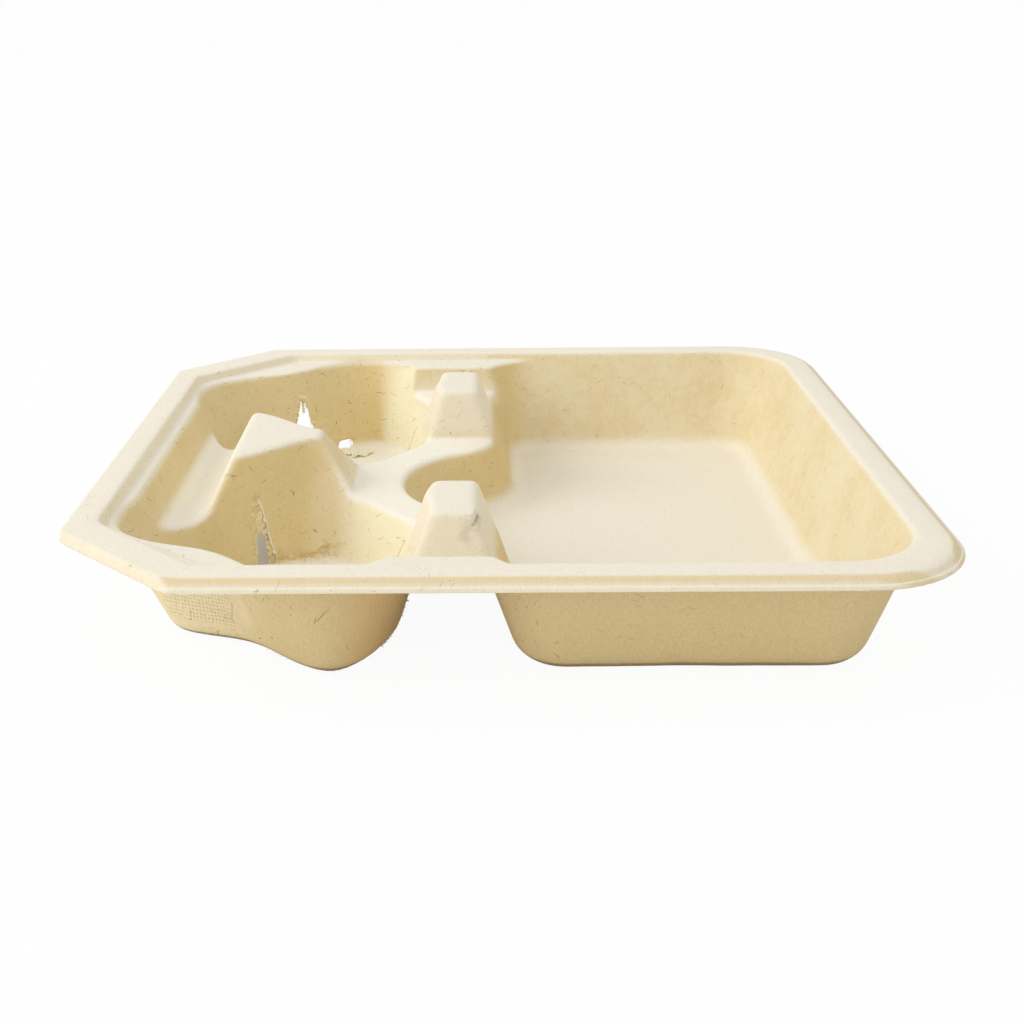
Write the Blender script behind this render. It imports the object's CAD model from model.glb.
from math import cos, sin
from random import Random

import bmesh
import bpy
import numpy as np
from bpy.props import FloatProperty, FloatVectorProperty, IntProperty, PointerProperty
from mathutils import Matrix, Vector, noise
from mathutils.bvhtree import BVHTree


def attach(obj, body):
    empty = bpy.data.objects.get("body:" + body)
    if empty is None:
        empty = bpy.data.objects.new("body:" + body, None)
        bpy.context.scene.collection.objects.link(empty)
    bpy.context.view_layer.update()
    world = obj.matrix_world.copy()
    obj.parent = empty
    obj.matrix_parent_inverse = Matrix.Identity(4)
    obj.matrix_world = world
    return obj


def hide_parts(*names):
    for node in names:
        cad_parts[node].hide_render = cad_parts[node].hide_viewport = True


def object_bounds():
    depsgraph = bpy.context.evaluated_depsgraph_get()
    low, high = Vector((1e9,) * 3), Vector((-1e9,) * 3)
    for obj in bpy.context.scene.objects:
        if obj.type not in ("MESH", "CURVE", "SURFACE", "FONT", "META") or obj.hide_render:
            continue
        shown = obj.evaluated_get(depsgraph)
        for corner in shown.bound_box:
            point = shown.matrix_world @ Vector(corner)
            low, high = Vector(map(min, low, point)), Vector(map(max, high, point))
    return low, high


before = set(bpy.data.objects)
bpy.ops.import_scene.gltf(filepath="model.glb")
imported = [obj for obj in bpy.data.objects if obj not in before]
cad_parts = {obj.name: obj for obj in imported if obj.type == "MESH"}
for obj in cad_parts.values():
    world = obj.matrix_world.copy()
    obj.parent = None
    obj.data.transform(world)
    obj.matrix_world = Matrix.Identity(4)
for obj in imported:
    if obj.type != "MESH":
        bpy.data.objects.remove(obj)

bl_info = {
    "name": "Pulp Cup Carrier",
    "version": (1, 0, 0),
    "blender": (4, 5, 0),
    "location": "3D View > Sidebar > Cup Carrier",
    "description": "Finishes a moulded pulp tray for two cups and food, and sets it in a plain studio",
    "category": "Object",
}

# Driving sizes, in metres. The plan is square.
CAD_LOW, CAD_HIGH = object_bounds()
HALF = CAD_HIGH.x
CUT_CORNER = 0.039
CORNER_RADIUS = 0.0335

# Roll of the rim: width of the lip, where the bead's move ends and fades, and from what height up
LIP_WIDTH = 0.0040
ROLL_END = 0.0068
ROLL_FADE = 0.0028
ROLL_LOW = 0.0335
ROLL_RISE = 0.0015

# Size of the clouds that the skin wanders in, and how far from a tear it is ragged or stays unsoftened
WAVE_SIZE = 0.035
RIPPLE_SIZE = 0.011
RIPPLE_SHARE = 0.3
RAGGED_SIZE = 0.0016
RAGGED_REACH = 0.0016
RAGGED_BLEND = 0.0012
TEAR_KEPT = 0.003

# Zones of the finish: each pair is where a zone starts and where it is full
RIM_TOP = (0.0345, 0.0365)
TOP_AT_FOOD = 0.0088
TOP_AT_CUPS = 0.0220
TOP_EDGE = (0.0015, -0.0015)
CUP_TOPS = (0.002, -0.012)
CUP_WALLS = (0.018, 0.002)
POST_HEIGHTS = (0.020, 0.030)
POST_MIDDLE = -0.004
POST_REACH = (0.034, 0.026)
POST_SIDE = (0.106, 0.099)
SUNK_HEIGHTS = (0.034, 0.026)
SUNK_END = (0.0, -0.020)
SHOULDER_OUTER = (0.0012, 0.0026)
SHOULDER_INNER = (0.0075, 0.0050)
WORN_END = (-0.060, -0.088)
SOAKED_END = (-0.020, -0.030)
PATCH_END = -0.0915
PATCH_HEIGHT = 0.0145
PATCH_SIDE = (-0.070, -0.076)
FOOT_HEIGHTS = (0.0160, 0.0140)
SCRAPS_END = (-0.071, -0.067)
SCRAPS_SIDE = (0.050, 0.080)

# Loose pulp: thickness of a sheet, where a ply lies in its slit, and how uneven the fibres are
SHEET = 0.0003
PLY_OVERLAP = 0.0009
PLY_DEPTH = 0.0013
PLY_LUMP = 0.0005
PLY_SWAY = 0.0008
PLY_FRAY = 0.35
PLY_HOLE = 0.62
FLOOR_GAP = 0.0001
RAY_START = 0.01
ABOVE_FLOOR = 0.02
UNEVEN = (0.5, 1.3)
SEED = 7
ACROSS = Vector((0.0, 1.0, 0.0))
DOWN = Vector((0.0, 0.0, -1.0))
SENSOR_WIDTH = 36.0


class PulpSkin(bpy.types.PropertyGroup):
    """How the pressed skin of pulp is softened from the tool's sharp form."""
    voxel: FloatProperty(
        name="Mesh size", description="Size of the cells that the skin is meshed with",
        default=0.00065, unit="LENGTH",
    )
    passes: IntProperty(
        name="Softening", description="How often the ridges are smoothed", default=16,
    )
    rim_kept: FloatProperty(
        name="Rim kept", description="Width of the rim that keeps its pressed section",
        default=0.0085, unit="LENGTH",
    )
    rim_blend: FloatProperty(
        name="Rim blend", description="Width over which the softening comes in, inside the rim",
        default=0.006, unit="LENGTH",
    )
    roll: FloatProperty(
        name="Rim roll", description="How far the bead's outer step is moved out over the lip",
        default=0.0021, unit="LENGTH",
    )
    wave: FloatProperty(
        name="Waviness", description="How far the walls wander from the tool's form",
        default=0.0005, unit="LENGTH",
    )
    ragged: FloatProperty(
        name="Ragged tears", description="How far the torn edges wander", default=0.0018, unit="LENGTH",
    )
    triangles: IntProperty(
        name="Triangles", description="How many triangles the skin keeps", default=175000,
    )


class PulpColours(bpy.types.PropertyGroup):
    """Colours of the pulp and of the fibres in it."""
    cream: FloatVectorProperty(
        name="Cream tops", description="Colour of the level faces, which the tool presses smooth",
        subtype="COLOR", default=(0.89, 0.83, 0.69),
    )
    pale: FloatVectorProperty(
        name="Pale pulp", description="Colour of the clean pulp on a wall", subtype="COLOR",
        default=(0.82, 0.72, 0.49),
    )
    straw: FloatVectorProperty(
        name="Straw pulp", description="Colour where the pulp is denser", subtype="COLOR",
        default=(0.77, 0.63, 0.37),
    )
    gold: FloatVectorProperty(
        name="Gold pulp", description="Colour of the steep walls at the cup end, which dried slowly",
        subtype="COLOR", default=(0.73, 0.57, 0.275),
    )
    tan: FloatVectorProperty(
        name="Tan outside", description="Colour of the outer side, which lay on the wire screen",
        subtype="COLOR", default=(0.72, 0.57, 0.30),
    )
    fleck: FloatVectorProperty(
        name="Fleck", description="Colour of the short dark fibres", subtype="COLOR",
        default=(0.22, 0.14, 0.05),
    )
    hair: FloatVectorProperty(
        name="Hair", description="Colour of the long pale fibres", subtype="COLOR",
        default=(0.55, 0.40, 0.18),
    )
    torn: FloatVectorProperty(
        name="Torn fibre", description="Colour of the loose fibres in the tears", subtype="COLOR",
        default=(0.85, 0.71, 0.38),
    )
    rubbed: FloatVectorProperty(
        name="Rubbed walls", subtype="COLOR", default=(0.93, 0.875, 0.64),
        description="Colour of the cup end's walls that face away from the food",
    )
    sunk: FloatVectorProperty(
        name="Sunk faces", description="Colour of the level faces deep in the cup end",
        subtype="COLOR", default=(0.95, 0.90, 0.77),
    )
    worn: FloatVectorProperty(
        name="Worn outside", description="Colour of the streaks and the worn end of the outer side",
        subtype="COLOR", default=(0.86, 0.74, 0.48),
    )
    soaked: FloatVectorProperty(
        name="Soaked outside", description="Colour of the pocket's outer side towards the food",
        subtype="COLOR", default=(0.86, 0.61, 0.30),
    )
    crease: FloatVectorProperty(
        name="Crease", description="Colour of the crease in the near pocket", subtype="COLOR",
        default=(0.62, 0.43, 0.13),
    )
    dirt: FloatVectorProperty(
        name="Dirt", description="Colour of the smudge on the near post", subtype="COLOR",
        default=(0.30, 0.22, 0.12),
    )
    foot: FloatVectorProperty(
        name="Foot", description="Colour of the brown edge along the foot", subtype="COLOR",
        default=(0.20, 0.13, 0.06),
    )
    strand: FloatVectorProperty(
        name="Strand", description="Colour of the darker strands in the loose fibres",
        subtype="COLOR", default=(0.60, 0.42, 0.12),
    )
    scrap: FloatVectorProperty(
        name="Scrap", description="Colour of the scraps in the far pocket", subtype="COLOR",
        default=(0.94, 0.89, 0.68),
    )


class Studio(bpy.types.PropertyGroup):
    """Floor, lamps and camera."""
    floor_colour: FloatVectorProperty(
        name="Floor", description="Colour of the floor", subtype="COLOR", default=(0.92, 0.92, 0.92),
    )
    key_power: FloatProperty(
        name="Key lamp", description="Power of the large lamp on the left", default=11.0,
        unit="POWER",
    )
    fill_power: FloatProperty(
        name="Fill lamp", description="Power of the lamp left of the camera", default=8.0, unit="POWER",
    )
    key_place: FloatVectorProperty(
        name="Key place", description="Where the key lamp hangs", subtype="TRANSLATION",
        default=(-1.65, 0.15, 1.20),
    )
    key_size: FloatProperty(
        name="Key size", description="Side of the key lamp", default=1.0, unit="LENGTH",
    )
    fill_place: FloatVectorProperty(
        name="Fill place", description="Where the fill lamp hangs", subtype="TRANSLATION",
        default=(-1.45, -1.25, 0.75),
    )
    fill_size: FloatProperty(
        name="Fill size", description="Side of the fill lamp", default=1.2, unit="LENGTH",
    )
    sky: FloatProperty(
        name="Sky", description="Strength of the light from all round", default=0.98,
    )
    camera_place: FloatVectorProperty(
        name="Camera place", description="Where the camera stands", subtype="TRANSLATION",
        default=(-0.0060, -0.4848, 0.1901), precision=4,
    )
    camera_pitch: FloatProperty(
        name="Camera pitch", description="How far the camera looks down", unit="ROTATION",
        default=0.368,
    )
    camera_yaw: FloatProperty(
        name="Camera yaw", description="How far the camera is turned to the right", unit="ROTATION",
        default=-0.017,
    )
    camera_roll: FloatProperty(
        name="Camera roll", description="How far the camera leans", unit="ROTATION", default=-0.012,
    )
    lens: FloatProperty(
        name="Lens", description="Focal length for a sensor 36 mm wide", default=51.2,
    )
    shift_x: FloatProperty(name="Shift across", description="Lens shift across", default=0.0508)
    shift_y: FloatProperty(name="Shift up", description="Lens shift up", default=0.0213)


class Signal:
    """A socket of a shader, on which Python's operators add Math nodes."""

    def __init__(self, shader, socket):
        self.shader = shader
        self.socket = socket

    def _math(self, operation, *values):
        return self.shader.node("ShaderNodeMath", dict(enumerate(values)), operation=operation)

    def other(self, output):
        """Another output of the same node."""
        return Signal(self.shader, self.socket.node.outputs[output])

    def fraction(self):
        return self._math("FRACT", self)

    def whole(self):
        return self._math("FLOOR", self)

    def __add__(self, other):
        return self._math("ADD", self, other)

    def __sub__(self, other):
        return self._math("SUBTRACT", self, other)

    def __mul__(self, other):
        return self._math("MULTIPLY", self, other)

    def __truediv__(self, other):
        return self._math("DIVIDE", self, other)

    def __rsub__(self, other):
        return self._math("SUBTRACT", other, self)

    def __or__(self, other):
        return self._math("MAXIMUM", self, other)

    def __and__(self, other):
        return self._math("MINIMUM", self, other)

    def __lt__(self, other):
        return self._math("LESS_THAN", self, other)

    def __abs__(self):
        return self._math("ABSOLUTE", self)

    __radd__ = __add__
    __rmul__ = __mul__


class Shader:
    """One material's node tree, with the few ways that the finishes here add nodes to it."""

    def __init__(self, material):
        material.use_nodes = True
        self.tree = material.node_tree
        self.tree.nodes.clear()

    def node(self, kind, inputs=None, output=0, **settings):
        """Adds a node, sets it, feeds its sockets and returns one of its outputs."""
        made = self.tree.nodes.new(kind)
        for name, value in settings.items():
            setattr(made, name, value)
        for name, value in (inputs or {}).items():
            if isinstance(value, Signal):
                self.tree.links.new(value.socket, made.inputs[name])
            else:
                made.inputs[name].default_value = value
        return Signal(self, made.outputs[output]) if made.outputs else None

    def vector(self, operation, *values, output=0):
        """A Vector Math node."""
        inputs = {}
        for index, value in enumerate(values):
            inputs[3 if operation == "SCALE" and index == 1 else index] = value
        return self.node("ShaderNodeVectorMath", inputs, output=output, operation=operation)

    def noise(self, place, size, detail=3.0, roughness=0.5, output=0):
        """Noise whose lumps are about size metres wide, from 0 to 1."""
        inputs = {"Vector": place, "Scale": 1.0 / size, "Detail": detail, "Roughness": roughness}
        return self.node("ShaderNodeTexNoise", inputs, output=output)

    def ramp(self, value, low, high):
        """0 below low and 1 above high, with a soft step between. High may be less than low."""
        turned = high < low
        inputs = {"Value": value, "From Min": min(low, high), "From Max": max(low, high)}
        if turned:
            inputs.update({"To Min": 1.0, "To Max": 0.0})
        return self.node("ShaderNodeMapRange", inputs, interpolation_type="SMOOTHSTEP")

    def blend(self, share, first, second):
        """A colour between two colours."""
        first, second = (c if isinstance(c, Signal) else (*c, 1.0) for c in (first, second))
        return self.node("ShaderNodeMix", {0: share, 6: first, 7: second}, output=2, data_type="RGBA")

    def wander(self, place, size, reach):
        """A vector that wanders by up to half of reach each way, in lumps of that size."""
        cloud = self.noise(place, size, detail=1.0, output=1)
        return self.vector("SCALE", self.vector("SUBTRACT", cloud, (0.5, 0.5, 0.5)), reach)

    def bump(self, relief):
        """The normal that a relief in metres gives."""
        return self.node("ShaderNodeBump", {"Height": relief, "Distance": 1.0, "Strength": 1.0})

    def finish(self, surface):
        self.node("ShaderNodeOutputMaterial", {"Surface": surface})


def fibres(shader, place, facing, spacing, length, width, share):
    """Mask of short fibres: each cell of space holds a thin disc, which the wall cuts in a line."""
    cell = {"Vector": place, "Scale": 1.0 / spacing, "Randomness": 1.0}
    middle = shader.node("ShaderNodeTexVoronoi", cell, output="Position")
    draw = middle.other("Color")
    offset = shader.vector("SUBTRACT", place, middle)
    aim = shader.vector("CROSS_PRODUCT", shader.vector("SUBTRACT", draw, (0.5, 0.5, 0.5)), facing)
    across = abs(shader.vector("DOT_PRODUCT", offset, shader.vector("NORMALIZE", aim), output="Value"))
    reach = shader.vector("LENGTH", offset, output="Value")
    lot = shader.node("ShaderNodeSeparateColor", {"Color": draw}, output=1)
    depth = lot.other(2)
    thin = shader.ramp(across, width, width * 0.3)
    short = shader.ramp(reach, length * 0.5, length * 0.42)
    return thin * short * (lot < share) * (0.35 + 0.65 * depth)


def stroke(shader, place, facing, width, *lines):
    """Mask of lines through points, drawn on the side of the skin that they lie on."""
    mask = None
    for start, end in [pair for points in lines for pair in zip(points, points[1:])]:
        start, along = Vector(start), Vector(end) - Vector(start)
        offset = shader.vector("SUBTRACT", place, tuple(start))
        share = shader.vector("DOT_PRODUCT", offset, tuple(along / along.length_squared), output="Value")
        share = shader.node("ShaderNodeMath", {0: share, 1: 0.0}, operation="ADD", use_clamp=True)
        gap = shader.vector("SUBTRACT", offset, shader.vector("SCALE", tuple(along), share))
        beside = shader.vector("LENGTH", shader.vector("CROSS_PRODUCT", gap, facing), output="Value")
        below = abs(shader.vector("DOT_PRODUCT", gap, facing, output="Value"))
        piece = shader.ramp(beside, width * 0.5, width * 0.15) * (below < 0.0015)
        mask = piece if mask is None else mask | piece
    return mask


def screen_dashes(shader, place, pitch):
    """Mask of the short upright dents that a wire screen leaves, in rows that are set off by half."""
    x = shader.node("ShaderNodeSeparateXYZ", {0: place}, output=0)
    row = x.other(2) / (pitch * 1.35)
    column = (x * 0.67 - x.other(1) * 0.74) / pitch + row.whole() * 0.5
    thin = shader.ramp(abs(column.fraction() - 0.5), 0.20, 0.05)
    return thin * shader.ramp(abs(row.fraction() - 0.5), 0.26, 0.12)


# Marks on the skin, each a line through points
CREASE = ((-0.0752, -0.0308, 0.0063), (-0.0699, -0.0275, 0.0053), (-0.0650, -0.0249, 0.0053),
          (-0.0600, -0.0234, 0.0072), (-0.0583, -0.0232, 0.0082))
FINE_LINES = (
    ((-0.0315, -0.0431, 0.0177), (-0.0346, -0.0432, 0.0107)),
    ((-0.0330, 0.0899, 0.0156), (-0.0370, 0.0910, 0.0054)),
    ((-0.0307, 0.0630, 0.0172), (-0.0317, 0.0620, 0.0130)),
    ((-0.0527, -0.1130, 0.0207), (-0.0512, -0.1135, 0.0225), (-0.0503, -0.1137, 0.0238)),
    ((-0.0952, -0.0825, 0.0074), (-0.0945, -0.0828, 0.0084)),
)
CRACKS = (
    ((-0.0799, -0.0939, 0.0180), (-0.0806, -0.0915, 0.0140), (-0.0812, -0.0888, 0.0102)),
    ((-0.0753, -0.1008, 0.0229), (-0.0734, -0.0991, 0.0170), (-0.0708, -0.0971, 0.0097)),
)
RIP = ((-0.0811, -0.0274, 0.0262), (-0.0799, -0.0279, 0.0232), (-0.0782, -0.0293, 0.0158),
       (-0.0770, -0.0302, 0.0111), (-0.0757, -0.0308, 0.0050))
FLAP = ((-0.0775, -0.0965, 0.0215), (-0.0762, -0.0935, 0.0120))
SCRATCH = ((-0.1004, -0.0962, 0.0370), (-0.0866, -0.1086, 0.0370))
SMUDGE = ((-0.0082, -0.0800, 0.0392), (-0.0090, -0.0826, 0.0377), (-0.0106, -0.0836, 0.0350))


class Whereabouts:
    """Signals that say where a point of the skin lies, how it faces and how the pulp varies there."""

    def __init__(self, shader):
        self.place = shader.node("ShaderNodeTexCoord", output="Object")
        self.facing = shader.node("ShaderNodeTexCoord", output="Normal")
        self.lean = shader.node("ShaderNodeSeparateXYZ", {0: self.facing}, output=0)
        self.rise = self.lean.other(2)
        self.end = shader.node("ShaderNodeSeparateXYZ", {0: self.place}, output=0)
        self.side, self.height = self.end.other(1), self.end.other(2)
        cut = (self.end - abs(self.side) + (2.0 * HALF - CUT_CORNER)) / 2 ** 0.5
        self.from_outline = (HALF - abs(self.end)) & (HALF - abs(self.side)) & cut
        self._vary(shader)
        self._zone(shader)

    def _vary(self, shader):
        """Clouds, mottles, felt and streaks of the pulp, and two ways in which lines wander."""
        self.cloud = shader.noise(self.place, 0.030, detail=3.0, roughness=0.6)
        self.mottle = shader.noise(self.place, 0.0035, detail=3.0, roughness=0.65)
        self.felt = shader.noise(self.place, 0.0008, detail=2.0, roughness=0.6)
        stretched = shader.vector("MULTIPLY", self.place, (1.0, 1.0, 0.28))
        self.streak = shader.noise(stretched, 0.0006, detail=1.0, roughness=0.55)
        self.density = shader.ramp(self.cloud * 0.6 + self.mottle * 0.4, 0.38, 0.64)
        self.bend = shader.wander(self.place, 0.0026, 0.0026)
        self.tremble = shader.wander(self.place, 0.0011, 0.0012)

    def _zone(self, shader):
        """Masks of the outer side, the rim's top, the posts, and all that lies level."""
        self.outside = shader.ramp(self.rise, 0.0, -0.22)
        top_width = TOP_AT_FOOD + (TOP_AT_CUPS - TOP_AT_FOOD) * shader.ramp(self.end, *CUP_TOPS)
        self.top = shader.ramp(self.height, *RIM_TOP)
        self.top = self.top * shader.ramp(self.from_outline - top_width, *TOP_EDGE)
        self.level = shader.ramp(self.rise, 0.34, 0.98) * (1.0 - self.top)
        self.level = self.level + (shader.ramp(self.rise, 0.45, 0.99) | 0.5) * self.top
        self.posts = shader.ramp(self.height, *POST_HEIGHTS)
        self.posts = self.posts * shader.ramp(abs(self.end - POST_MIDDLE), *POST_REACH)
        self.posts = self.posts * shader.ramp(abs(self.side), *POST_SIDE)


def pressed_colour(shader, at, colours):
    """Colour of the side that the tool pressed: cream where it is level, straw and gold on walls."""
    colour = shader.blend(at.density * 0.8, colours.pale, colours.straw)
    golden = shader.ramp(at.end, *CUP_WALLS) * (1.0 - (at.top | at.posts))
    golden = golden * (0.75 + 0.25 * at.density)
    rubbed = shader.ramp(at.lean, -0.15, -0.70)
    colour = shader.blend(golden * (1.0 - rubbed), colour, colours.gold)
    colour = shader.blend(golden * rubbed * 0.9, colour, colours.rubbed)
    colour = shader.blend(at.posts * 0.7, colour, colours.cream)
    colour = shader.blend(at.level, colour, colours.cream)
    sunk = shader.ramp(at.height, *SUNK_HEIGHTS) * shader.ramp(at.end, *SUNK_END)
    colour = shader.blend(at.level * sunk, colour, colours.sunk)
    shoulder = shader.ramp(at.from_outline, *SHOULDER_OUTER)
    shoulder = shoulder * shader.ramp(at.from_outline, *SHOULDER_INNER)
    shoulder = shoulder * shader.ramp(at.rise, 0.995, 0.90) * at.top
    return shader.blend(shoulder * 0.9, colour, colours.straw)


def screen_colour(shader, at, colours):
    """Colour of the outer side: tan with pale streaks, a worn end, and darker towards the food."""
    flap = stroke(shader, at.place, at.facing, 0.0090, FLAP) * 0.8 | shader.ramp(at.end, *WORN_END)
    streaks = shader.ramp(at.streak, 0.40, 0.66) * 0.22
    colour = shader.blend(streaks | flap, colours.tan, colours.worn)
    soaked = shader.ramp(at.lean, 0.15, 0.75) * shader.ramp(at.end, *SOAKED_END)
    return shader.blend(soaked * 0.7, colour, colours.soaked)


def with_fibres(shader, at, colours, colour):
    """That colour with long pale fibres and short dark ones, and more of them at the cup end."""
    busy = shader.ramp(at.end, 0.045, -0.030) * 0.5 + 0.5
    busy = busy * (1.0 - at.level * 0.6) * (0.5 + 0.5 * shader.ramp(at.cloud, 0.35, 0.6))
    busy = busy * (1.0 - at.posts * 0.5)
    bent = shader.vector("ADD", at.place, at.bend)
    # Spacing, length, width, share of the cells that hold a fibre, strength and colour
    kinds = (
        (0.0075, 0.0068, 0.00010, 0.60, 0.5, colours.hair),
        (0.0037, 0.0027, 0.00015, 0.42, 1.0, colours.fleck),
        (0.0025, 0.0013, 0.00015, 0.40, 0.8, colours.fleck),
    )
    for spacing, length, width, share, strength, tint in kinds:
        marks = fibres(shader, bent, at.facing, spacing, length, width, share) * busy
        colour = shader.blend(marks * strength, colour, tint)
    return colour


def screen_dents(shader, at):
    """Mask of the wire screen's dents: clear in one patch, and faint on the rest of the outer side."""
    patch = shader.ramp(abs(at.end - PATCH_END), 0.0125, 0.0105)
    patch = patch * shader.ramp(abs(at.height - PATCH_HEIGHT), 0.0075, 0.006)
    patch = patch * shader.ramp(at.side, *PATCH_SIDE) * shader.ramp(at.mottle, 0.36, 0.50)
    uneven = shader.vector("SCALE", (0.0009, 0.0009, 0.0009), at.felt)
    dashes = screen_dashes(shader, shader.vector("ADD", at.place, uneven), 0.0011)
    return dashes * (patch + 0.10) * at.outside


def with_wear(shader, at, colours, colour):
    """That colour with the crease, cracks, single fibres, scratch, smudge, torn edge and brown foot."""
    shaken = shader.vector("ADD", at.place, at.tremble)
    crease = stroke(shader, shader.vector("ADD", shaken, at.bend), at.facing, 0.0018, CREASE)
    crease = crease * shader.ramp(at.felt, 0.32, 0.44)
    colour = shader.blend(crease * 0.7, colour, colours.crease)
    cracks = stroke(shader, shaken, at.facing, 0.0006, CRACKS[0])
    cracks = cracks | stroke(shader, shaken, at.facing, 0.0005, CRACKS[1])
    colour = shader.blend(cracks * 0.6, colour, colours.hair)
    lines = stroke(shader, at.place, at.facing, 0.0004, *FINE_LINES)
    colour = shader.blend(lines * 0.8, colour, colours.fleck)
    scratch = stroke(shader, at.place, at.facing, 0.0010, SCRATCH)
    colour = shader.blend(scratch * 0.3, colour, colours.tan)
    dirt = stroke(shader, at.place, at.facing, 0.0080, SMUDGE) * 0.22
    dirt = dirt + stroke(shader, shaken, at.facing, 0.0014, SMUDGE[:2]) * 0.5
    colour = shader.blend(dirt * shader.ramp(at.mottle, 0.30, 0.60), colour, colours.dirt)
    rip = stroke(shader, at.place, at.facing, 0.0012, RIP)
    colour = shader.blend(rip * 0.8, colour, colours.cream)
    foot = shader.ramp(at.height, *FOOT_HEIGHTS) * shader.ramp(at.rise, -0.58, -0.70)
    foot = foot * shader.ramp(at.rise, -0.99, -0.95) * shader.ramp(at.cloud, 0.30, 0.42)
    return shader.blend(foot * 0.65, colour, colours.foot)


def pulp_material(colours):
    """Pressed unbleached pulp: cloudy cream, short dark fibres, pale hairs, and a felt-like surface."""
    material = bpy.data.materials.new("pulp")
    shader = Shader(material)
    at = Whereabouts(shader)
    pressed = pressed_colour(shader, at, colours)
    screened = screen_colour(shader, at, colours)
    colour = shader.blend(at.outside * (1.0 - 0.7 * at.top), pressed, screened)
    colour = with_fibres(shader, at, colours, colour)
    dents = screen_dents(shader, at)
    colour = shader.blend(dents * 0.24, colour, colours.hair)
    colour = with_wear(shader, at, colours, colour)
    relief = 0.00027 * at.mottle + 0.00018 * at.felt + 0.00010 * at.streak * at.outside
    skin = shader.node("ShaderNodeBsdfPrincipled", {
        "Base Color": colour, "Roughness": 0.84 + 0.12 * at.felt,
        "Normal": shader.bump(relief - 0.00030 * dents), "Specular IOR Level": 0.2,
    })
    shader.finish(skin)
    return material


def fibre_material(colours):
    """Loose fibre bundles: gold to pale, with a faint gloss, and paler scraps."""
    material = bpy.data.materials.new("loose_fibre")
    shader = Shader(material)
    place = shader.node("ShaderNodeTexCoord", output="Object")
    patchy = shader.noise(place, 0.0012, detail=2.0)
    stringy = shader.noise(shader.vector("MULTIPLY", place, (1.0, 1.0, 0.2)), 0.0004, detail=2.0)
    colour = shader.blend(shader.ramp(patchy, 0.46, 0.62), colours.torn, colours.cream)
    colour = shader.blend(shader.ramp(stringy, 0.56, 0.62) * 0.6, colour, colours.strand)
    end = shader.node("ShaderNodeSeparateXYZ", {0: place}, output=0)
    scraps = shader.ramp(end, *SCRAPS_END) * shader.ramp(end.other(1), *SCRAPS_SIDE)
    colour = shader.blend(scraps, colour, colours.scrap)
    skin = shader.node("ShaderNodeBsdfPrincipled", {
        "Base Color": colour, "Roughness": 0.7 + 0.2 * patchy, "Specular IOR Level": 0.25,
    })
    shader.finish(skin)
    return material


def linked(name, mesh):
    """A new object of the scene with that mesh."""
    piece = bpy.data.objects.new(name, mesh)
    bpy.context.scene.collection.objects.link(piece)
    return piece


def apply_modifiers(piece):
    """Makes the piece's modifiers part of its mesh."""
    graph = bpy.context.evaluated_depsgraph_get()
    mesh = bpy.data.meshes.new_from_object(piece.evaluated_get(graph))
    piece.modifiers.clear()
    piece.data = mesh


def points_of(mesh):
    """The places of a mesh's points, as rows of an array."""
    flat = np.empty(len(mesh.vertices) * 3, np.float32)
    mesh.vertices.foreach_get("co", flat)
    return flat.reshape(-1, 3)


def set_points(mesh, points):
    """Moves a mesh's points to those places."""
    mesh.vertices.foreach_set("co", points.ravel())
    mesh.update()


def eased(value):
    """Soft step from 0 to 1."""
    value = np.clip(value, 0.0, 1.0)
    return value * value * (3.0 - 2.0 * value)


def inside_rim(points):
    """How far each point lies in from the outline of the rim."""
    x, y = points[:, 0], np.abs(points[:, 1])
    sides = np.minimum(HALF - np.abs(x), HALF - y)
    cut = (2.0 * HALF - CUT_CORNER + x - y) / 2 ** 0.5
    corner_x = x - (HALF - CORNER_RADIUS)
    corner_y = y - (HALF - CORNER_RADIUS)
    round_corner = CORNER_RADIUS - np.hypot(corner_x, corner_y)
    at_corner = (corner_x > 0) & (corner_y > 0)
    return np.where(at_corner, round_corner, np.minimum(sides, cut))


def roll_rim(mesh, depth):
    """Moves the step between bead and lip outwards, so that the bead is wide and the lip is narrow."""
    points = points_of(mesh)
    step = 0.0001
    inside = inside_rim(points)
    slope = np.stack([
        (inside_rim(points + np.float32(step) * np.eye(3, dtype=np.float32)[axis]) - inside) / step
        for axis in (0, 1)
    ], axis=1)
    share = eased(inside / LIP_WIDTH) * eased((ROLL_END - inside) / ROLL_FADE)
    share = share * eased((points[:, 2] - ROLL_LOW) / ROLL_RISE)
    points[:, :2] -= slope * (depth * share)[:, None]
    set_points(mesh, points)


# Tears in the pocket walls: corners in X and Z, and the stretch of Y that each one cuts through
TEARS = (
    (((-0.0818, 0.0280), (-0.0825, 0.0050), (-0.0758, 0.0050)), (-0.038, -0.022)),
    (((-0.0806, 0.0285), (-0.0830, 0.0120), (-0.0755, 0.0120)), (0.086, 0.103)),
    (((-0.0665, 0.0040), (-0.0660, 0.0072), (-0.0610, 0.0064), (-0.0608, 0.0038)), (0.095, 0.107)),
)


def from_tears(points, tears):
    """How far each point lies from the edge of the nearest of those tears."""
    nearest = np.full(len(points), 1.0)
    flat = points[:, (0, 2)]
    for corners, (start, end) in tears:
        beyond = np.maximum(np.maximum(start - points[:, 1], points[:, 1] - end), 0.0)
        for first, second in zip(corners, corners[1:] + corners[:1]):
            along = np.subtract(second, first)
            share = np.clip((flat - first) @ along / (along @ along), 0.0, 1.0)
            gap = np.linalg.norm(flat - first - share[:, None] * along, axis=1)
            nearest = np.minimum(nearest, np.hypot(gap, beyond))
    return nearest


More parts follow.
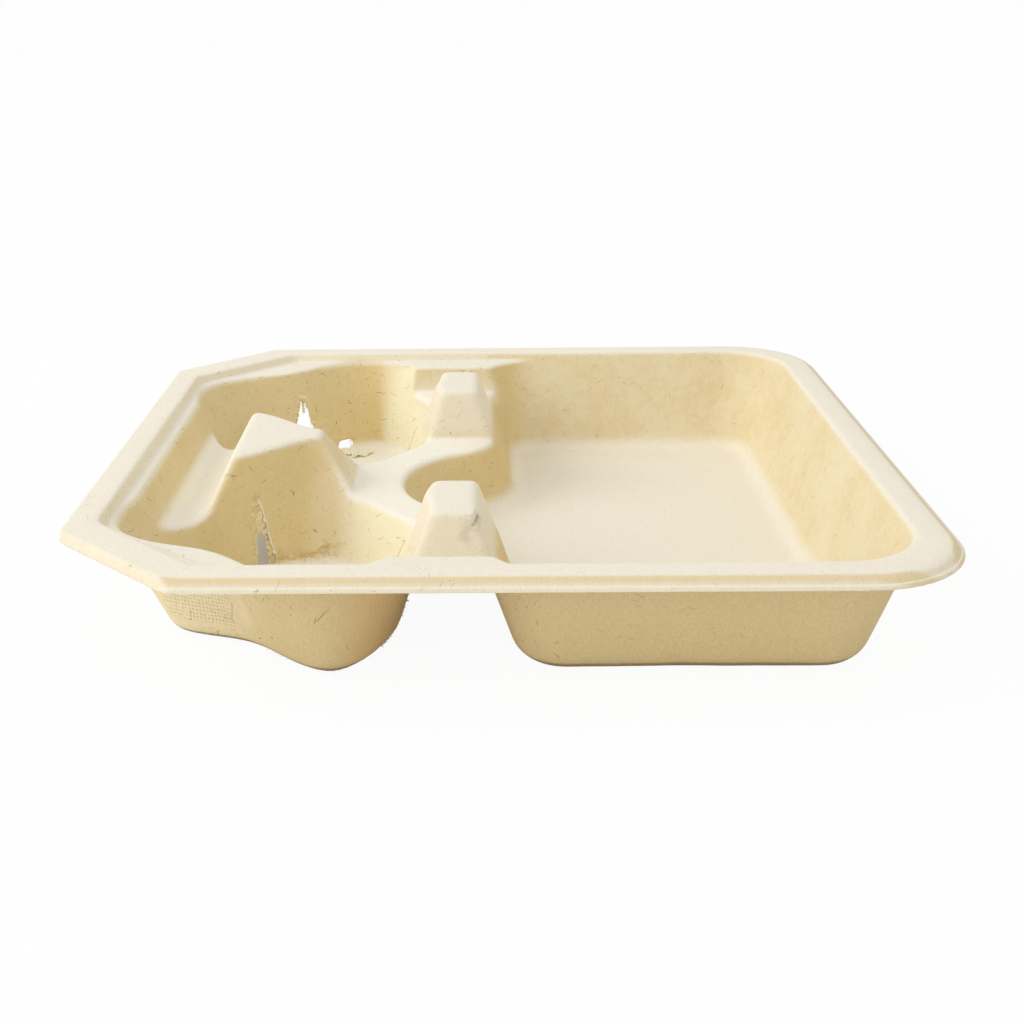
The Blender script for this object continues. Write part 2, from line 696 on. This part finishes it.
def weigh(piece, name, weights):
    """A vertex group with those weights, in steps of a twentieth."""
    group = piece.vertex_groups.new(name=name)
    steps = 20
    levels = np.round(weights * steps).astype(int)
    for level in range(1, steps + 1):
        chosen = np.nonzero(levels == level)[0]
        if len(chosen):
            group.add(chosen.tolist(), level / steps, "REPLACE")
    return group.name


def displace(piece, size, height, group="", direction="NORMAL"):
    """Moves the piece's points by up to half of height each way, in clouds of that size."""
    texture = bpy.data.textures.new("clouds", "CLOUDS")
    texture.noise_scale = size
    texture.noise_depth = 2
    texture.cloud_type = "COLOR" if direction == "RGB_TO_XYZ" else "GRAYSCALE"
    modifier = piece.modifiers.new("displace", "DISPLACE")
    modifier.texture = texture
    modifier.texture_coords = "LOCAL"
    modifier.direction = direction
    modifier.strength = height
    modifier.mid_level = 0.5
    modifier.vertex_group = group


def merged_copy(node, name):
    """A new object with a copy of a CAD node's mesh, its loose triangles joined."""
    form = bmesh.new()
    form.from_mesh(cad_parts[node].data)
    bmesh.ops.remove_doubles(form, verts=form.verts, dist=1e-6)
    mesh = bpy.data.meshes.new(name)
    form.to_mesh(mesh)
    form.free()
    return linked(name, mesh)


def soften(tray, skin):
    """Smooths the ridges, lets the walls wander and makes the torn edges ragged."""
    points = points_of(tray.data)
    loose = eased((inside_rim(points) - skin.rim_kept) / skin.rim_blend)
    soft = weigh(tray, "soft", loose * eased(from_tears(points, TEARS) / TEAR_KEPT))
    beside = from_tears(points, TEARS[:2])
    torn = weigh(tray, "torn", eased((RAGGED_REACH - beside) / RAGGED_BLEND))
    for passes, group in ((2, ""), (skin.passes, soft)):
        smooth = tray.modifiers.new("smooth", "SMOOTH")
        smooth.factor = 0.5
        smooth.iterations = passes
        smooth.vertex_group = group
    displace(tray, WAVE_SIZE, skin.wave, soft)
    displace(tray, RIPPLE_SIZE, skin.wave * RIPPLE_SHARE, soft)
    displace(tray, RAGGED_SIZE, skin.ragged, torn, "RGB_TO_XYZ")
    apply_modifiers(tray)


class PULP_OT_tray(bpy.types.Operator):
    """Makes the moulded tray: one skin of pulp with soft ridges, a pressed rim and torn slits"""
    bl_idname = "pulp.tray"
    bl_label = "Pulp tray"

    def execute(self, context):
        skin = context.scene.pulp_skin
        tray = merged_copy("tray", "moulded_tray")
        remesh = tray.modifiers.new("remesh", "REMESH")
        remesh.mode = "VOXEL"
        remesh.voxel_size = skin.voxel * 1.0
        apply_modifiers(tray)
        roll_rim(tray.data, skin.roll)
        soften(tray, skin)
        thin = tray.modifiers.new("thin", "DECIMATE")
        thin.ratio = min(1.0, skin.triangles / (2.0 * len(tray.data.polygons)))
        apply_modifiers(tray)
        tray.vertex_groups.clear()
        # Nothing dips below the surface that the tray stands on
        points = points_of(tray.data)
        points[:, 2] = np.maximum(points[:, 2], 0.0)
        set_points(tray.data, points)
        tray.data.shade_smooth()
        print("tray triangles", sum(len(f.vertices) - 2 for f in tray.data.polygons))

        tray.data.materials.clear()
        tray.data.materials.append(pulp_material(context.scene.pulp_colours))
        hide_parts("tray")
        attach(tray, "root")
        return {"FINISHED"}


# Torn layers: the tear, four corners in X and Z from top left to low right, and how far down each reaches
PLIES = (
    (0, (-0.0823, 0.0290), (-0.0811, 0.0290), (-0.0829, 0.0140), (-0.0779, 0.0140), 0.90),
    (0, (-0.0829, 0.0165), (-0.0817, 0.0165), (-0.0829, 0.0048), (-0.0815, 0.0048), 2.0),
    (0, (-0.0799, 0.0165), (-0.0778, 0.0165), (-0.0775, 0.0048), (-0.0755, 0.0048), 2.0),
    (1, (-0.0811, 0.0292), (-0.0803, 0.0292), (-0.0803, 0.0195), (-0.0792, 0.0195), 0.9),
)


def thicken(form, made, offset):
    """Gives a sheet of that grid's remaining faces a back and sides, with all faces outwards."""
    front = [vertex for vertex in made["verts"] if vertex.is_valid]
    faces = list({face: None for vertex in front for face in vertex.link_faces})
    added = bmesh.ops.extrude_face_region(form, geom=faces, use_keep_orig=True)["geom"]
    back = [part for part in added if isinstance(part, bmesh.types.BMVert)]
    bmesh.ops.translate(form, verts=back, vec=offset)
    shell = list({face: None for vertex in front + back for face in vertex.link_faces})
    bmesh.ops.recalc_face_normals(form, faces=shell)
    volume = sum(face.calc_area() * face.normal.dot(face.calc_center_median()) for face in shell)
    if volume < 0.0:
        bmesh.ops.reverse_faces(form, faces=shell)


def torn_ply(form, skin, tear, corners, reach, draw):
    """A ragged inner layer of the skin that still hangs across a tear."""
    (tip, low_end, high_end), (start, _) = TEARS[tear]
    top_left, top_right, low_left, low_right = (Vector(corner) for corner in corners)
    made = bmesh.ops.create_grid(form, x_segments=16, y_segments=44, size=0.5)
    shift = Vector([draw.uniform(0.0, 9.0) for _ in range(3)])
    ragged = []
    for vertex in made["verts"]:
        across, down = vertex.co.x + 0.5, 0.5 - vertex.co.y
        left, right = top_left.lerp(low_left, down), top_right.lerp(low_right, down)
        spot = left.lerp(right, across)
        opened = max(0.0, (tip[1] - spot.y) / (tip[1] - low_end[1]))
        sides = [
            tip[0] + (corner[0] - tip[0]) * opened + overlap
            for corner, overlap in ((low_end, -PLY_OVERLAP), (high_end, PLY_OVERLAP))
        ]
        walls = [
            skin.ray_cast(Vector((x, start - RAY_START, spot.y)), ACROSS)[0].y
            for x in sides
        ]
        share = (spot.x - sides[0]) / (sides[1] - sides[0])
        lump = noise.noise(Vector((spot.x * 1400.0, spot.y * 500.0, 0.0)) + shift)
        depth = walls[0] + (walls[1] - walls[0]) * share + PLY_DEPTH + PLY_LUMP * lump
        fray = noise.noise(Vector((across * 5.0, down * 1.5, 4.0)) + shift)
        hole = noise.noise(Vector((across * 3.0, down * 7.0, 7.0)) + shift)
        if down > reach + PLY_FRAY * fray or hole > PLY_HOLE:
            ragged.append(vertex)
        sway = min(0.5 * (right - left).length, PLY_SWAY)
        spot.x += sway * noise.noise(Vector((across * 2.0, down * 14.0, 9.0)) + shift)
        vertex.co = (spot.x, depth, spot.y)
    bmesh.ops.delete(form, geom=ragged, context="VERTS")
    thicken(form, made, (0.0, SHEET, 0.0))


# Scraps on the far pocket's floor: the middle in X and Y, half the size, and the turn
FLAKES = (
    ((-0.0612, 0.0958), (0.0030, 0.0015), 0.2),
    ((-0.0578, 0.0948), (0.0034, 0.0017), -0.3),
    ((-0.0546, 0.0964), (0.0028, 0.0013), 0.5),
    ((-0.0592, 0.0930), (0.0018, 0.0010), 1.2),
)


def torn_flake(form, skin, middle, size, turn, draw):
    """A curled scrap of pulp that lies on a pocket's floor."""
    made = bmesh.ops.create_grid(form, x_segments=14, y_segments=7, size=0.5)
    shift = Vector([draw.uniform(0.0, 9.0) for _ in range(3)])
    for vertex in made["verts"]:
        fray = 1.0 + 0.6 * noise.noise(vertex.co * 5.0 + shift)
        x, y = vertex.co.x * size[0] * 2.0 * fray, vertex.co.y * size[1] * 2.0 * fray
        curl = 0.0008 * abs(noise.noise(vertex.co * 2.5 + shift)) + 0.0016 * vertex.co.y ** 2
        along = middle[0] + x * cos(turn) - y * sin(turn)
        aside = middle[1] + x * sin(turn) + y * cos(turn)
        floor = skin.ray_cast(Vector((along, aside, ABOVE_FLOOR)), DOWN)[0]
        vertex.co = (along, aside, floor.z + FLOOR_GAP + curl)
    thicken(form, made, (0.0, 0.0, SHEET))


def fibre(curve, start, aim, length, radius, draw):
    """Adds one bent fibre that thins to a point."""
    steps = 5
    spline = curve.splines.new("POLY")
    spline.points.add(steps - 1)
    place, aim = Vector(start), Vector(aim).normalized()
    for step, point in enumerate(spline.points):
        point.co = (*place, 1.0)
        point.radius = radius * (1.0 - 0.75 * step / (steps - 1))
        aim = (aim + Vector([draw.uniform(-0.45, 0.45) for _ in range(3)])).normalized()
        place = place + aim * (length / (steps - 1))


# Fibres on torn edges: the tear, the edge's two ends in X and Z, lean, number, length and radius
FRINGES = (
    (0, (-0.0817, 0.0270), (-0.0792, 0.0160), (-0.30, -1.0), 14, 0.0030, 0.00014),
    (0, (-0.0790, 0.0160), (-0.0758, 0.0050), (-1.0, -0.5), 44, 0.0017, 0.00014),
    (0, (-0.0825, 0.0050), (-0.0758, 0.0050), (0.1, 1.0), 24, 0.0015, 0.00014),
    (1, (-0.0806, 0.0285), (-0.0830, 0.0120), (0.6, -1.0), 6, 0.0011, 0.00011),
    (1, (-0.0806, 0.0285), (-0.0755, 0.0120), (-0.6, -1.0), 6, 0.0012, 0.00011),
    (2, (-0.0665, 0.0040), (-0.0660, 0.0072), (1.0, 0.0), 10, 0.0008, 0.00010),
    (2, (-0.0610, 0.0064), (-0.0608, 0.0038), (-1.0, 0.0), 16, 0.0012, 0.00012),
)

# Fibres about a place: its middle, their spread, number, length and radius
FUZZ = (
    ((-0.0595, -0.0240, 0.0065), 0.0035, 44, 0.0028, 0.00016),
    ((-0.0740, -0.0302, 0.0060), 0.0022, 18, 0.0030, 0.00017),
    ((-0.0675, -0.0265, 0.0053), 0.0030, 26, 0.0032, 0.00017),
    ((-0.0630, -0.0242, 0.0060), 0.0022, 20, 0.0030, 0.00017),
    ((-0.0570, -0.0235, 0.0090), 0.0028, 16, 0.0032, 0.00014),
    ((-0.0560, 0.0960, 0.0022), 0.0035, 14, 0.0022, 0.00011),
    ((-0.0818, -0.0278, 0.0268), 0.0018, 16, 0.0018, 0.00009),
    ((-0.0805, -0.0915, 0.0140), 0.0035, 14, 0.0013, 0.00007),
    ((-0.0310, -0.0810, 0.0090), 0.0070, 90, 0.0011, 0.00022),
    ((-0.0345, -0.0890, 0.0040), 0.0060, 50, 0.0010, 0.00020),
    ((-0.0690, -0.0960, 0.0030), 0.0090, 36, 0.0011, 0.00007),
    ((-0.0440, -0.1040, 0.0020), 0.0120, 36, 0.0010, 0.00007),
)


def fringe(curve, skin, row, draw):
    """Fibres that stand along one edge of a tear."""
    tear, first, last, lean, count, length, radius = row
    corners, (start, end) = TEARS[tear]
    centre = Vector((sum(c[0] for c in corners), 0.0, sum(c[1] for c in corners))) / len(corners)
    aim = Vector((lean[0], 0.0, lean[1])).normalized()
    for _ in range(count):
        share = draw.uniform(0.08, 1.0)
        edge = Vector((
            first[0] + (last[0] - first[0]) * share, start - RAY_START,
            first[1] + (last[1] - first[1]) * share,
        ))
        outward = Vector((edge.x - centre.x, 0.0, edge.z - centre.z)).normalized()
        hit, normal, _, _ = skin.ray_cast(edge + outward * 0.0009, ACROSS)
        if hit is None or hit.y > end + 0.004:
            continue
        flat = aim.copy()
        flat.y = -(normal.x * aim.x + normal.z * aim.z) / normal.y
        root = hit - outward * 0.0006 - normal * draw.uniform(0.0004, 0.0017)
        way = flat.normalized() + normal * draw.uniform(-0.30, 0.12)
        long, thick = length * draw.uniform(*UNEVEN), radius * draw.uniform(*UNEVEN)
        fibre(curve, root, way, long, thick, draw)


def fuzz(curve, skin, row, draw):
    """Fibres that lie scattered about one place on the skin."""
    middle, spread, count, length, radius = row
    for _ in range(count):
        around = Vector([draw.gauss(0.0, spread * 0.5) for _ in range(3)])
        place, normal, _, _ = skin.find_nearest(Vector(middle) + around)
        aim = Vector([draw.uniform(-1.0, 1.0) for _ in range(3)])
        aim -= normal * (aim.dot(normal) - draw.uniform(0.05, 0.5))
        long, thick = length * draw.uniform(*UNEVEN), radius * draw.uniform(*UNEVEN)
        fibre(curve, place - normal * radius, aim, long, thick, draw)


class PULP_OT_torn_fibres(bpy.types.Operator):
    """Makes the loose fibres in the tears, on the crease and along worn edges"""
    bl_idname = "pulp.torn_fibres"
    bl_label = "Torn fibres"

    def execute(self, context):
        draw = Random(SEED)
        form = bmesh.new()
        form.from_mesh(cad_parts["tray"].data)
        skin = BVHTree.FromBMesh(form)
        form.clear()
        for tear, *corners, reach in PLIES:
            torn_ply(form, skin, tear, corners, reach, draw)
        for middle, size, turn in FLAKES:
            torn_flake(form, skin, middle, size, turn, draw)
        curve = bpy.data.curves.new("torn_fibres", "CURVE")
        curve.dimensions = "3D"
        curve.bevel_depth = 1.0
        curve.bevel_resolution = 0
        for row in FRINGES:
            fringe(curve, skin, row, draw)
        for row in FUZZ:
            fuzz(curve, skin, row, draw)
        holder = linked("fibre_lines", curve)
        graph = context.evaluated_depsgraph_get()
        mesh = bpy.data.meshes.new_from_object(holder.evaluated_get(graph))
        bpy.data.objects.remove(holder)
        form.from_mesh(mesh)
        for vertex in form.verts:
            vertex.co.z = max(vertex.co.z, FLOOR_GAP)
        form.to_mesh(mesh)
        form.free()
        fibres_piece = linked("torn_fibres", mesh)
        mesh.materials.clear()
        mesh.materials.append(fibre_material(context.scene.pulp_colours))
        print("fibre triangles", sum(len(f.vertices) - 2 for f in mesh.polygons))
        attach(fibres_piece, "root")
        return {"FINISHED"}


# Round this place the floor isn't whitened, because its shadow shows through the near slit
UNDER_PEAK = (-0.084, 0.010, 0.0)


def shown_rays(shader):
    """1 for the rays that show the backdrop: the camera's, and those by way of gloss or glass."""
    rays = shader.node("ShaderNodeLightPath", output="Is Camera Ray")
    return rays + rays.other("Is Glossy Ray") + rays.other("Is Transmission Ray")


def floor_material(colour):
    """Pale floor that the camera sees as white, with the tray's shadow on it."""
    material = bpy.data.materials.new("floor")
    shader = Shader(material)
    plain = shader.node("ShaderNodeBsdfDiffuse", {"Color": (*colour, 1.0)})
    glow = shader.node("ShaderNodeEmission", {"Color": (1.0, 1.0, 1.0, 1.0), "Strength": 1.0})
    place = shader.node("ShaderNodeTexCoord", output="Object")
    off = shader.vector("DISTANCE", place, UNDER_PEAK, output="Value")
    share = shown_rays(shader) * shader.ramp(off, 0.028, 0.042) * 0.95
    shader.finish(shader.node("ShaderNodeMixShader", {0: share, 1: plain, 2: glow}))
    return material


def area_lamp(name, place, size, power):
    """Square lamp that shines at the tray."""
    light = bpy.data.lights.new(name, "AREA")
    light.energy = power
    light.size = size
    lamp = linked(name, light)
    lamp.location = place
    lamp.rotation_euler = (-Vector(place)).to_track_quat("-Z", "Y").to_euler()


class PULP_OT_studio(bpy.types.Operator):
    """Sets the floor, the lamps, the sky and the camera"""
    bl_idname = "pulp.studio"
    bl_label = "Studio"

    def execute(self, context):
        studio = context.scene.pulp_studio
        form = bmesh.new()
        bmesh.ops.create_grid(form, x_segments=1, y_segments=1, size=30.0)
        mesh = bpy.data.meshes.new("floor")
        form.to_mesh(mesh)
        form.free()
        floor = linked("floor", mesh)
        floor.data.materials.append(floor_material(studio.floor_colour))

        area_lamp("key", studio.key_place, studio.key_size, studio.key_power)
        area_lamp("fill", studio.fill_place, studio.fill_size, studio.fill_power)

        world = bpy.data.worlds.new("sky")
        context.scene.world = world
        shader = Shader(world)
        lit = shader.node("ShaderNodeBackground", {"Strength": studio.sky})
        white = shader.node("ShaderNodeBackground", {"Color": (1.0, 1.0, 1.0, 1.0), "Strength": 1.0})
        both = shader.node("ShaderNodeMixShader", {0: shown_rays(shader), 1: lit, 2: white})
        shader.node("ShaderNodeOutputWorld", {"Surface": both})

        pitch, yaw, roll = studio.camera_pitch, studio.camera_yaw, studio.camera_roll
        ahead = Vector((sin(yaw) * cos(pitch), cos(yaw) * cos(pitch), -sin(pitch)))
        level = Vector((cos(yaw), -sin(yaw), 0.0))
        upright = level.cross(ahead)
        right = level * cos(roll) + upright * sin(roll)
        above = upright * cos(roll) - level * sin(roll)
        lens = bpy.data.cameras.new("camera")
        lens.lens = studio.lens
        lens.sensor_width = SENSOR_WIDTH
        lens.shift_x = studio.shift_x
        lens.shift_y = studio.shift_y
        lens.clip_start = 0.01
        camera = linked("camera", lens)
        turn = Matrix((right, above, -ahead)).transposed()
        camera.matrix_world = Matrix.Translation(studio.camera_place) @ turn.to_4x4()
        context.scene.camera = camera
        context.scene.view_settings.view_transform = "Standard"
        return {"FINISHED"}


class PULP_PT_panel(bpy.types.Panel):
    """Lists the steps that finish the tray"""
    bl_idname = "PULP_PT_panel"
    bl_label = "Cup Carrier"
    bl_space_type = "VIEW_3D"
    bl_region_type = "UI"
    bl_category = "Cup Carrier"

    def draw(self, context):
        for group in ("pulp_skin", "pulp_colours", "pulp_studio"):
            settings = getattr(context.scene, group)
            box = self.layout.box()
            for name in settings.__annotations__:
                box.prop(settings, name)
        for operator in (PULP_OT_tray, PULP_OT_torn_fibres, PULP_OT_studio):
            self.layout.operator(operator.bl_idname)


CLASSES = (
    PulpSkin, PulpColours, Studio, PULP_OT_tray, PULP_OT_torn_fibres, PULP_OT_studio, PULP_PT_panel,
)


def register():
    for each in CLASSES:
        bpy.utils.register_class(each)
    bpy.types.Scene.pulp_skin = PointerProperty(type=PulpSkin)
    bpy.types.Scene.pulp_colours = PointerProperty(type=PulpColours)
    bpy.types.Scene.pulp_studio = PointerProperty(type=Studio)


def unregister():
    del bpy.types.Scene.pulp_skin, bpy.types.Scene.pulp_colours, bpy.types.Scene.pulp_studio
    for each in reversed(CLASSES):
        bpy.utils.unregister_class(each)


def main():
    register()
    bpy.ops.pulp.tray()
    bpy.ops.pulp.torn_fibres()
    bpy.ops.pulp.studio()


if __name__ == "__main__":
    main()
